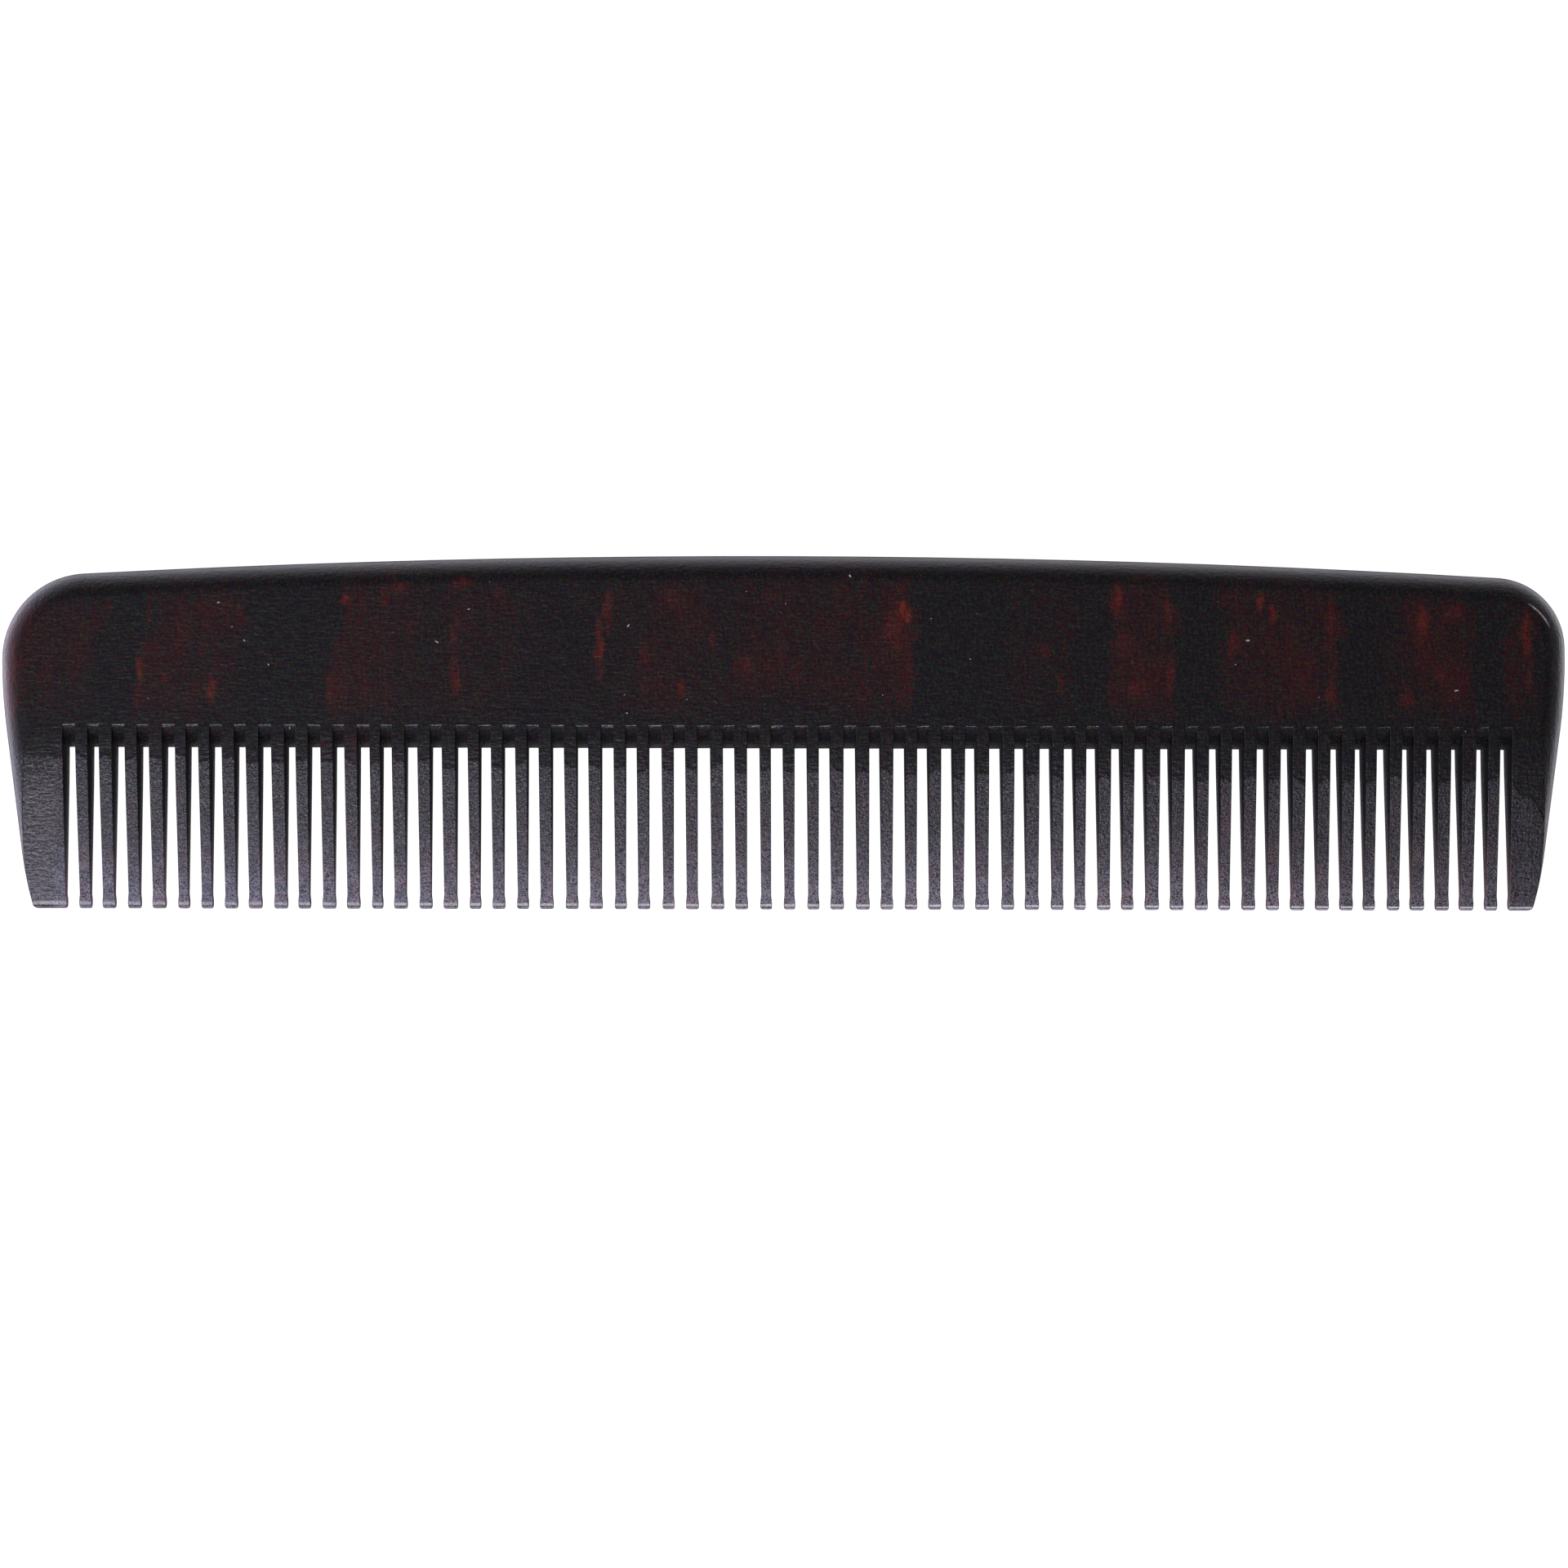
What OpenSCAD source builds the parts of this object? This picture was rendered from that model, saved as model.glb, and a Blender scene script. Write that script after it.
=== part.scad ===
// Pocket comb, cut from one slab of mottled acetate. The comb lies on its back:
// X runs along the comb, +Y points to the spine, the tips point to -Y and +Z is up.
// The origin is under the middle of the comb, on the surface that it lies on.

/* [Size] */
// Length of the comb at its widest, from end to end
comb_l = 129; // [127:1:140]
// Height of the comb, from the crown of the spine to the tips of the teeth
comb_h = 29.2; // [27:0.1:34]
// Thickness of the flat spine
comb_t = 4.2; // [3.6:0.1:4.8]

/* [Outline] */
// Radius of the long, nearly straight arc along the top of the spine
spine_r = 1050; // [700:50:1500]
// Radius of the upper corner on the left
corner_r_left = 7.1; // [5:0.1:7.5]
// Radius of the upper corner on the right, which is a little fuller
corner_r_right = 5.9; // [5:0.1:7.5]
// How far below the crown the comb is at its widest
shoulder_drop = 8.7; // [8.2:0.1:10]
// Radius of each end below its widest point
shoulder_r = 45; // [38:1:60]
// Lean of the straight stretch of each end, in degrees from upright
end_lean = 7.1; // [5:0.1:8]
// Radius that draws the guard teeth in towards their tips
heel_r = 28; // [20:1:40]
// Height above the tips where that radius begins
heel_h = 4.6; // [3:0.1:6]

/* [Saw cuts] */
// Number of saw cuts, with one fine tooth between each two
cut_count = 60; // [40:1:60]
// Spacing of the cuts, which is also the spacing of the teeth
pitch = 2; // [1.9:0.01:2]
// Width of a cut at its root
cut_root_w = 0.97; // [0.8:0.01:1.1]
// Width of a cut at the tips of the teeth
cut_tip_w = 1.17; // [1:0.01:1.3]
// Length of a cut on the faces, from the tips to the root
cut_depth = 15.1; // [13:0.1:16]
// How far the row of cuts lies to the right of the middle of the comb
cut_shift = 0.3; // [0:0.1:0.5]
// Lean of the cuts, in degrees, with the tips towards the right
cut_lean = 0.42; // [0:0.01:0.5]
// How much wider every other cut is, and how much narrower those between, from two blades
blade_error = 0.04; // [0:0.01:0.06]
// Error of the saw's indexing wheel, to either side
index_error = 0.06; // [0:0.01:0.1]
// Number of cuts over which that error repeats
index_period = 6; // [4:1:12]
// Flare of the cuts at the tips, which takes the sharp corner off each tooth
tip_flare = 0.18; // [0.1:0.01:0.25]

/* [Root of the cuts] */
// How far the ridge in the middle of the root stands out past its two faces
root_rise = 1.8; // [1.2:0.1:2.2]
// Slope of the root where it leaves the face, in degrees
root_slope = 25; // [15:1:30]

/* [Thinning of the teeth] */
// Radius of the rounded tips, seen from the end of the comb
tip_r = 0.45; // [0.4:0.01:0.6]
// Slope of the straight part of each face, in degrees
taper = 7.9; // [7.5:0.1:8.2]
// Radius of the curve that leads from the flat of the spine into that slope
face_r = 41.4; // [38:0.1:44]
// Slope with which that curve leaves the flat of the spine, in degrees
face_start = 1.15; // [1:0.05:1.5]

/* [Hidden] */

// The rim is nearly a full half round, and meets the flats in a faint edge
edge_r = comb_t / 2;
rim_r = edge_r + 0.05;
crown_y = comb_h / 2;
tip_y = -comb_h / 2;
root_y = tip_y + cut_depth;

// Overshoot of a cutting shape past what it cuts
over = 1;
// How far the rim reaches into the comb at its two ends
rim_reach = 14;
// How far the round of a corner stands out past its neighbours, too little to see or feel
proud = 0.02;
// How far the slab runs on below the tips before the teeth are thinned
slab_run_on = 4;
// Facets of a full turn for the long arc of the spine and for all other curves
long_fn = 2880;
curve_fn = 144;
$fn = curve_fn;

// Centre of a circle that touches two larger circles from inside, on the right of both
function inner_centre(a, ra, b, rb, r) =
    let (
        d = norm(b - a),
        bearing = atan2(b.y - a.y, b.x - a.x),
        swing = acos((d^2 + (ra - r)^2 - (rb - r)^2) / (2 * d * (ra - r)))
    )
    a + (ra - r) * [cos(bearing - swing), sin(bearing - swing)];

function bearing_of(from, to) = atan2(to.y - from.y, to.x - from.x);

// Centres of the arcs of an end, drawn for the right-hand one
spine_c = [0, crown_y - spine_r];
shoulder_c = [comb_l / 2 - shoulder_r, crown_y - shoulder_drop];

// Centre of an upper corner of radius r, and the middle of the flat inside its round
function corner_c(r) = inner_centre(spine_c, spine_r, shoulder_c, shoulder_r, r);

function flat_corner(r) = corner_c(r) + 0.6 * (r - edge_r) * [1, 1];

// Length of the straight stretch of the end, from the shoulder down to the heel
straight_top_y = shoulder_c.y - shoulder_r * sin(end_lean);
straight_l = (straight_top_y - tip_y - heel_h) / cos(end_lean);
// The heel's arc runs on past the tips, where the comb's side profile ends it
heel_sweep = 14;

// Side profile: the round of the tip, the straight slope and the curve that leads into it
tip_c = tip_y + tip_r;
slope_end = tip_c - tip_r * sin(taper);
face_c_z = edge_r - face_r * cos(face_start);
face_c_y = tip_c - (tip_r - face_r - face_c_z * cos(taper)) / sin(taper);
curve_end = face_c_y - face_r * sin(taper);

// Root of the cuts: two arcs, one from each face, that meet in a ridge at mid thickness
root_chord = norm([root_rise, edge_r]);
root_half_turn = atan2(edge_r, root_rise) - root_slope;
root_r = root_chord / (2 * sin(root_half_turn));
root_c_y = root_y + root_r * sin(root_slope);
root_c_z = edge_r - root_r * cos(root_slope);

// Middle of each cut at its root, with the error of the indexing wheel added to even spacing
function cut_x(i) =
    cut_shift + (i - (cut_count - 1) / 2) * pitch
    + index_error * cos(360 * (i - 4) / index_period);

function cut_w(i, y) =
    cut_tip_w + (cut_root_w - cut_tip_w) * (y - tip_y) / cut_depth
    + (i % 2 == 0 ? blade_error : -blade_error);

// Section through the rim: a flat slab from the inner radius, ending in the round
module rim_section(inner, outer) {
    flat_end = outer - rim_r;
    translate([inner, 0]) square([flat_end - inner, comb_t]);
    intersection() {
        translate([flat_end, edge_r]) circle(r = rim_r);
        translate([flat_end, 0]) square([rim_r + over, comb_t]);
    }
}

// A stretch of rim along an arc about the origin, between two angles
module rim_arc(inner, outer, from, to, fn) {
    rotate_extrude(angle = to - from, start = from, $fn = fn)
        rim_section(inner, outer);
}

// The right-hand end below its upper corner: shoulder, straight and heel, drawn upright
// and then leant in
module side(r) {
    translate(shoulder_c)
        rotate(-end_lean) {
            shoulder_top = bearing_of(shoulder_c, corner_c(r)) + end_lean;
            rim_arc(shoulder_r - rim_reach, shoulder_r, 0, shoulder_top, 4 * curve_fn);
            translate([shoulder_r, 0, 0])
                rotate([90, 0, 0])
                    linear_extrude(straight_l)
                        rim_section(-rim_reach, 0);
            translate([shoulder_r - heel_r, -straight_l, 0])
                rim_arc(heel_r - rim_reach, heel_r, -heel_sweep, 0, 2 * curve_fn);
        }
}

// The right-hand end. Its upper corner is a whole disc, most of which lies inside the comb.
module end(r) {
    side(r);
    translate(corner_c(r))
        rim_arc((r - edge_r) / 2, r + proud, -135, 225, curve_fn);
}

// The comb before it is thinned and cut: a flat plate inside a round rim
module slab() {
    right = flat_corner(corner_r_right);
    left = flat_corner(corner_r_left);
    spine_right = bearing_of(spine_c, corner_c(corner_r_right));
    spine_left = 180 - bearing_of(spine_c, corner_c(corner_r_left));
    plate_top = min(left.y, right.y);
    plate_low = tip_y - slab_run_on;
    translate(spine_c)
        rim_arc(floor(plate_top - over - spine_c.y), spine_r, spine_right, spine_left, long_fn);
    end(corner_r_right);
    mirror([1, 0, 0]) end(corner_r_left);
    translate([-left.x, plate_low, 0])
        cube([left.x + right.x, plate_top - plate_low, comb_t]);
}

// Lays a profile drawn in Y and Z along the whole length of the comb
module along_comb() {
    rotate([90, 0, 90])
        translate([0, 0, -comb_l / 2 - over])
            linear_extrude(comb_l + 2 * over)
                children();
}

module strip(from, to) {
    translate([from, -over]) square([to - from, comb_t + 2 * over]);
}

// Side view of the thinned teeth: the curve, the straight slope and the round tip
module tooth_profile() {
    slope_top_z = face_c_z + face_r * cos(taper);
    slope_end_z = tip_r * cos(taper);
    intersection() {
        translate([face_c_y, edge_r + face_c_z]) circle(r = face_r, $fn = 8 * curve_fn);
        translate([face_c_y, edge_r - face_c_z]) circle(r = face_r, $fn = 8 * curve_fn);
        strip(curve_end, face_c_y + over);
    }
    translate([0, edge_r])
        polygon([
            [curve_end, slope_top_z],
            [curve_end, -slope_top_z],
            [slope_end, -slope_end_z],
            [slope_end, slope_end_z],
        ]);
    intersection() {
        translate([tip_c, edge_r]) circle(r = tip_r);
        strip(tip_y - over, slope_end);
    }
}

// What is taken off both faces and off the tips to thin the teeth
module thinning() {
    difference() {
        strip(tip_y - 2 * slab_run_on, face_c_y);
        tooth_profile();
    }
}

// The material that the saw leaves at the root, pointed in the middle like a gable
module root_profile() {
    intersection() {
        translate([root_c_y, edge_r + root_c_z]) circle(r = root_r);
        translate([root_c_y, edge_r - root_c_z]) circle(r = root_r);
    }
}

// One saw cut, a little wider at the tips, with its mouth flared
module cut(i) {
    top = root_y + 0.4;
    mouth = tip_y + tip_flare;
    half_top = cut_w(i, top) / 2;
    half_mouth = cut_w(i, mouth) / 2;
    half_open = half_mouth + tip_flare + over;
    translate([0, 0, -over])
        linear_extrude(comb_t + 2 * over)
            polygon([
                [-half_top, top],
                [-half_mouth, mouth],
                [-half_open, tip_y - over],
                [half_open, tip_y - over],
                [half_mouth, mouth],
                [half_top, top],
            ]);
}

module cuts() {
    difference() {
        for (i = [0 : cut_count - 1])
            translate([cut_x(i), root_y, 0])
                rotate(cut_lean)
                    translate([0, -root_y, 0])
                        cut(i);
        along_comb() root_profile();
    }
}

module comb() {
    color([0.2, 0.09, 0.07])
        difference() {
            slab();
            along_comb() thinning();
            cuts();
        }
}

comb();
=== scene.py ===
# %% [markdown]
# # A pocket comb, sawn from a slab of mottled acetate
# The comb lies on its back on a pale table, seen from straight above. It is one piece:
# a slab is cut out, its rim is rounded, the teeth are thinned on a wheel and then sawn
# apart. The steps below follow the comb maker's own order, because each of them leaves
# a mark that shows: the long round rim, the smooth run-out of the thinning, the pointed
# roots of the saw cuts and the soft edges from tumbling.

import math
import random

import bmesh
import bpy
from mathutils import Matrix, Vector


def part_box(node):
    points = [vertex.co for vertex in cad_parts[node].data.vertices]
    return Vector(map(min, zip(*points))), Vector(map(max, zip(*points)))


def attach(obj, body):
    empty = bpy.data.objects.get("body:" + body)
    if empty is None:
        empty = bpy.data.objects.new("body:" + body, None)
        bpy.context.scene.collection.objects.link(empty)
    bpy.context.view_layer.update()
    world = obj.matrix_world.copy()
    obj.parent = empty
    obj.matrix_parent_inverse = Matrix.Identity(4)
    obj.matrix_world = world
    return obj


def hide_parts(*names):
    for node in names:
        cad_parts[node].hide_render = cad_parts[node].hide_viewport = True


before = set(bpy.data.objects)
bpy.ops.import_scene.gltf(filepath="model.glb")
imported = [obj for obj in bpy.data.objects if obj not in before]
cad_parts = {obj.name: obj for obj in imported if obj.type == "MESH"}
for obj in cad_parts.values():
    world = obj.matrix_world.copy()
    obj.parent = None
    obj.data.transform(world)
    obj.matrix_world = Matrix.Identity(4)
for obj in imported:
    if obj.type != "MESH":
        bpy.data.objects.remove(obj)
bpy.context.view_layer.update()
low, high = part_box("comb")
print("measured comb, mm:", [round((b - a) * 1000, 2) for a, b in zip(low, high)])

# %% [markdown]
# ## Sizes
# Blender counts in metres, but its modelling tools have small built-in thresholds that
# would swallow a bevel of a tenth of a millimetre. So the comb is modelled a thousand
# times too large, where one unit is one millimetre, and shrunk at the very end. X runs
# along the comb, Y points to its back, and Z is up.

# %% Sizes in millimetres
MM = 0.001
LENGTH = 129.0
HEIGHT = 29.2
THICK = 4.2
HALF = THICK / 2
CROWN_Y = HEIGHT / 2
TIP_Y = -HEIGHT / 2

SPINE_R = 1050.0
CORNER_R = {-1: 7.1, 1: 5.9}
SHOULDER_R = 45.0
SHOULDER_DROP = 8.7
END_LEAN = math.radians(7.1)
HEEL_R = 28.0
HEEL_H = 4.6
HEEL_TURN = math.radians(14)

CUTS = 60
PITCH = 2.0
CUT_ROOT_W = 0.95
CUT_TIP_W = 1.10
CUT_DEPTH = 15.2
CUT_SHIFT = 0.3
CUT_LEAN = math.radians(0.42)
ROOT_Y = TIP_Y + CUT_DEPTH

print("spine top at", CROWN_Y, "mm, tips at", TIP_Y, "mm, roots at", round(ROOT_Y, 2), "mm")

# %% [markdown]
# ## The arcs of the outline
# The end of the comb is a chain of arcs that run into each other without a corner: the
# long back, a tight upper corner, a wide shoulder, a straight that leans inwards and a
# heel. A tight arc that touches two wider ones from inside has only one possible centre,
# which plain triangle geometry finds, so nothing here is placed by eye.

# %% Centres and turns of the arcs


def centre_inside(a, a_r, b, b_r, r):
    """Centre of a circle of radius r that touches two wider circles from inside."""
    span = (b - a).length
    bearing = math.atan2(b.y - a.y, b.x - a.x)
    swing = math.acos((span**2 + (a_r - r) ** 2 - (b_r - r) ** 2) / (2 * span * (a_r - r)))
    return a + (a_r - r) * Vector((math.cos(bearing - swing), math.sin(bearing - swing)))


def bearing_of(start, end):
    """Angle of the line between two points in the plane, from +X."""
    return math.atan2(end.y - start.y, end.x - start.x)


spine_c = Vector((0, CROWN_Y - SPINE_R))
shoulder_c = Vector((LENGTH / 2 - SHOULDER_R, CROWN_Y - SHOULDER_DROP))
corner_c = {
    side: centre_inside(spine_c, SPINE_R, shoulder_c, SHOULDER_R, r)
    for side, r in CORNER_R.items()
}
outwards = Vector((math.cos(END_LEAN), -math.sin(END_LEAN)))
down = Vector((-math.sin(END_LEAN), -math.cos(END_LEAN)))
straight_top = shoulder_c + SHOULDER_R * outwards
straight = (straight_top.y - TIP_Y - HEEL_H) / math.cos(END_LEAN)
heel_c = straight_top + straight * down - HEEL_R * outwards
print("corner centres, mm:", {s: [round(v, 2) for v in c] for s, c in corner_c.items()})
print("straight stretch of an end, mm:", round(straight, 2))

# %% [markdown]
# ## Drawing with one point
# Every profile starts as a single vertex: a plane is added and merged to its middle. From
# there the pen moves by two tools. Extrude pulls a straight line, and spin swings the
# point about a centre and leaves an arc behind. The same spin later swings a whole
# profile, which leaves a surface. Spin counts its angle clockwise, hence the minus sign.

# %% Pen, line and arc


def nothing_selected():
    """Object mode, with nothing selected."""
    if bpy.context.object and bpy.context.object.mode == "EDIT":
        bpy.ops.object.mode_set(mode="OBJECT")
    bpy.ops.object.select_all(action="DESELECT")


def pen_at(name, point):
    """A new object that is one vertex, in edit mode, ready to draw with."""
    nothing_selected()
    bpy.ops.mesh.primitive_plane_add(size=1, location=point)
    bpy.ops.object.transform_apply(location=True)
    drawn = bpy.context.object
    drawn.name = drawn.data.name = name
    bpy.ops.object.mode_set(mode="EDIT")
    bpy.ops.mesh.select_mode(type="VERT")
    bpy.ops.mesh.merge(type="CENTER")
    return drawn


def line(move):
    """Pulls what is selected along a vector."""
    bpy.ops.mesh.extrude_region_move(TRANSFORM_OT_translate={"value": move})


def arc(centre, axis, turn, steps):
    """Swings what is selected about an axis, counterclockwise for a positive turn."""
    bpy.ops.mesh.spin(steps=steps, angle=-turn, center=centre, axis=axis)


def select_where(test):
    """In edit mode, selects only the vertices whose place passes a test."""
    bpy.ops.mesh.select_all(action="DESELECT")
    mesh = bmesh.from_edit_mesh(bpy.context.object.data)
    for vertex in mesh.verts:
        vertex.select_set(test(vertex.co))
    mesh.select_flush(True)
    bmesh.update_edit_mesh(bpy.context.object.data)


def closed_up():
    """Merges doubled vertices, turns the faces outwards and leaves edit mode."""
    bpy.ops.mesh.select_all(action="SELECT")
    bpy.ops.mesh.remove_doubles(threshold=0.0005)
    bpy.ops.mesh.normals_make_consistent(inside=False)
    bpy.ops.object.mode_set(mode="OBJECT")


def size_of(piece):
    """Width, height and thickness of a piece, in its own units."""
    corners = [Vector(c) for c in piece.bound_box]
    spans = [max(c[k] for c in corners) - min(c[k] for c in corners) for k in range(3)]
    return [round(span, 2) for span in spans]


X_AXIS, Z_AXIS = (1, 0, 0), (0, 0, 1)
FINE = 0.0005
print("pen, line and arc are ready")

# %% [markdown]
# ## The slab and its rim
# The blank is a flat slab with a round rim. The rim is drawn once as a half circle at
# the middle of the back, and then swung round the chain of arcs, first to the right and
# then to the left. Each end is capped below the tips, and the two flats and the bottom
# are filled in as single faces. A straight tube could be bent along a curve instead, but
# the spins put each arc exactly where the outline has it.

# %% Swing the rim round both ends
RIM_STEPS = 30
SPINE_STEPS, CORNER_STEPS, SHOULDER_STEPS, HEEL_STEPS = 10, 28, 7, 9


def swing_end(side):
    """Swings the selected rim profile from the middle of the back down one end."""
    corner = corner_c[side]
    spine_stop = bearing_of(spine_c, corner)
    shoulder_top = bearing_of(shoulder_c, corner)

    def about(centre, turn, steps):
        arc((side * centre.x, centre.y, 0), Z_AXIS, -side * turn, steps)

    about(spine_c, math.pi / 2 - spine_stop, SPINE_STEPS)
    about(corner, spine_stop - shoulder_top, CORNER_STEPS)
    about(shoulder_c, shoulder_top + END_LEAN, SHOULDER_STEPS)
    line((side * down.x * straight, down.y * straight, 0))
    about(heel_c, HEEL_TURN, HEEL_STEPS)
    bpy.ops.mesh.edge_face_add()


slab = pen_at("comb_body", (0, CROWN_Y - HALF, THICK))
arc((0, CROWN_Y - HALF, HALF), X_AXIS, -math.pi, RIM_STEPS)
select_where(lambda co: True)
swing_end(1)
select_where(lambda co: abs(co.x) < FINE)
swing_end(-1)
bpy.ops.object.mode_set(mode="OBJECT")
print("rim swung, size in mm:", size_of(slab))

# %% [markdown]
# ## The flats of the slab
# The swung rim is a hollow band: the top, the bottom and the stretch below the tips are
# still open. A flat is one level plane, so each hole gets a single face, however many
# corners it has. A grid of small faces would look the same and only cost time later.

# %% Fill the flats and the bottom


def fill_flat(height):
    """Closes the rim's open edge at one height with a single face."""
    select_where(lambda co: abs(co.z - height) < FINE)
    bpy.ops.mesh.edge_face_add()


bpy.ops.object.mode_set(mode="EDIT")
fill_flat(THICK)
fill_flat(0)
bpy.ops.mesh.select_all(action="DESELECT")
bpy.ops.mesh.select_non_manifold(extend=False)
bpy.ops.mesh.edge_face_add()
closed_up()
print("slab closed, size in mm:", size_of(slab), "faces:", len(slab.data.polygons))

# %% [markdown]
# ## Thinning the teeth
# Before it is sawn, the lower half is held against a grinding wheel on both sides. That
# leaves a long shallow curve that runs out of the flat, then a straight taper. The tips
# are rounded over in two steps, a gentle brow and then a tight nose. Seen from the end
# this is one profile, so it is drawn once from the tip upwards, filled, and pulled along
# the whole comb. The slab keeps only what lies inside it, by a Boolean modifier.

# %% Draw the side profile and intersect
TIP_R = 0.45
TAPER = math.radians(7.9)
FACE_R = 41.4
FACE_START = math.radians(1.15)
BROW_R = 1.2
BROW_END = math.radians(40)
NOSE_STEPS, BROW_STEPS, FACE_STEPS = 9, 7, 16
PAST = 3.0

tip_c_y = TIP_Y + TIP_R
face_c_z = HALF - FACE_R * math.cos(FACE_START)
face_c_y = tip_c_y - (TIP_R - FACE_R - face_c_z * math.cos(TAPER)) / math.sin(TAPER)
curve_end_y = face_c_y - FACE_R * math.sin(TAPER)
curve_end_z = face_c_z + FACE_R * math.cos(TAPER)

brow_drop = BROW_R * (math.cos(TAPER) - math.cos(BROW_END))
brow_run = BROW_R * (math.sin(BROW_END) - math.sin(TAPER))
tan_taper = math.tan(TAPER)
nose_share = (1 - math.sin(BROW_END)) / math.cos(BROW_END)
tip_half = curve_end_z - tan_taper * (curve_end_y - TIP_Y)
nose_half = (tip_half + tan_taper * brow_run - brow_drop) / (1 - tan_taper * nose_share)
nose_r = nose_half / math.cos(BROW_END)
nose_c_y = TIP_Y + nose_r
brow_c_y = nose_c_y + (BROW_R - nose_r) * math.sin(BROW_END)
brow_c_z = (nose_r - BROW_R) * math.cos(BROW_END)
slope_end_y = brow_c_y - BROW_R * math.sin(TAPER)
tip_thick = 2 * (brow_c_z + BROW_R * math.cos(TAPER))
print("tip thickness where the taper ends, mm:", round(tip_thick, 3))


def use_boolean(piece, tool, operation):
    """Applies a Boolean modifier with another solid, and deletes that solid."""
    nothing_selected()
    bpy.context.view_layer.objects.active = piece
    cut = piece.modifiers.new("cut", "BOOLEAN")
    cut.operation = operation
    cut.object = tool
    cut.solver = "EXACT"
    bpy.ops.object.modifier_apply(modifier=cut.name)
    bpy.data.objects.remove(tool)


def draw_face(up, start_x):
    """Draws one face of the profile, from the tip to well past the back of the comb."""
    select_where(lambda co: co.y < TIP_Y + FINE)
    arc((start_x, nose_c_y, HALF), X_AXIS, -up * (math.pi / 2 - BROW_END), NOSE_STEPS)
    brow_c = (start_x, brow_c_y, HALF + up * brow_c_z)
    arc(brow_c, X_AXIS, -up * (BROW_END - TAPER), BROW_STEPS)
    slope = (slope_end_y - curve_end_y) / math.cos(TAPER)
    line((0, -slope * math.cos(TAPER), -up * slope * math.sin(TAPER)))
    arc((start_x, face_c_y, HALF + up * face_c_z), X_AXIS, -up * TAPER, FACE_STEPS)
    line((0, 0, up * PAST))
    line((0, CROWN_Y + PAST - face_c_y, 0))


bar_x = LENGTH / 2 + PAST
bar = pen_at("side_profile", (-bar_x, TIP_Y, HALF))
draw_face(1, -bar_x)
draw_face(-1, -bar_x)
select_where(lambda co: True)
bpy.ops.mesh.edge_face_add()
line((2 * bar_x, 0, 0))
closed_up()
print("side profile pulled along X, size in mm:", size_of(bar))
use_boolean(slab, bar, "INTERSECT")
print("thinned slab, size in mm:", size_of(slab), "faces:", len(slab.data.polygons))

# %% [markdown]
# ## Easing the two outer corners
# The two guard teeth at the ends would have a sharp corner where the heel meets the
# tips, and on a real comb that corner is worn round so that it doesn't scratch. A bevel
# would have to turn round the tip and the rim at once, and it folds over itself there.
# So a block with a hollow round side is drawn and taken off instead, as a file would.

# %% Round the feet of the guard teeth
FOOT_R = 0.55
FOOT_STEPS = 7
BLOCK_WIDE, BLOCK_TALL = 0.8, 2.5
CLEAR = 1.0


def file_foot(side):
    """Takes off what lies outside a small circle that touches the tips and the heel."""
    centre = Vector((0, TIP_Y + FOOT_R))
    centre.x = heel_c.x + math.sqrt((HEEL_R - FOOT_R) ** 2 - (centre.y - heel_c.y) ** 2)
    heel_bearing = bearing_of(heel_c, centre)
    away = Vector((side * math.cos(heel_bearing), math.sin(heel_bearing), 0))
    block = pen_at("foot_block", (side * centre.x, TIP_Y, -CLEAR))
    turn = side * (heel_bearing + math.pi / 2)
    arc((side * centre.x, centre.y, -CLEAR), Z_AXIS, turn, FOOT_STEPS)
    line(away * BLOCK_WIDE)
    line((0, -BLOCK_TALL, 0))
    select_where(lambda co: True)
    bpy.ops.mesh.edge_face_add()
    line((0, 0, THICK + 2 * CLEAR))
    closed_up()
    use_boolean(slab, block, "DIFFERENCE")


for side in (-1, 1):
    file_foot(side)
print("feet filed, size in mm:", size_of(slab), "faces:", len(slab.data.polygons))

# %% [markdown]
# ## One saw cut
# Sixty cuts part the teeth, so one cutter is modelled and copied. Seen from above it is
# a narrow wedge, a little wider at the tips. Just before its mouth it is pinched, so the
# teeth end in slight bulbs, and the mouth is rounded outwards, which takes the sharp
# corners off them. A round blade that comes in from both sides leaves the root of each
# cut pointed like the gable of a house, so a gable-shaped bar is taken off the cutter.

# %% Draw the cutter
ROOT_RISE = 1.9
ROOT_SLOPE = math.radians(25)
MOUTH_R = 0.26
MOUTH_H = 0.22
MOUTH_TURN = math.radians(80)
MOUTH_STEPS = 5
FLARE = (0.5, -0.1)
NECK_H = 1.1
BULB = 0.07
PAST_ROOT = 0.4


def cut_width(y):
    """Width of a cut at a height on the comb."""
    return CUT_TIP_W + (CUT_ROOT_W - CUT_TIP_W) * (y - TIP_Y) / CUT_DEPTH


def draw_cut_side(side, top, mouth, below):
    """Draws one side of the wedge, from the middle of its upper end to its mouth."""
    half_top, half_neck = cut_width(top) / 2, cut_width(neck) / 2
    line((side * half_top, 0, 0))
    line((side * (half_neck - half_top), neck - top, 0))
    line((-side * BULB / 4, -NECK_H / 4, 0))
    line((-side * BULB / 2, -NECK_H / 4, 0))
    line((-side * BULB / 4, -NECK_H / 4, 0))
    line((0, mouth - neck + 0.75 * NECK_H, 0))
    middle = half_neck - BULB + MOUTH_R
    arc((side * middle, mouth, below), Z_AXIS, side * MOUTH_TURN, MOUTH_STEPS)
    line((side * FLARE[0], FLARE[1], 0))
    line((0, -CLEAR, 0))


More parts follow.
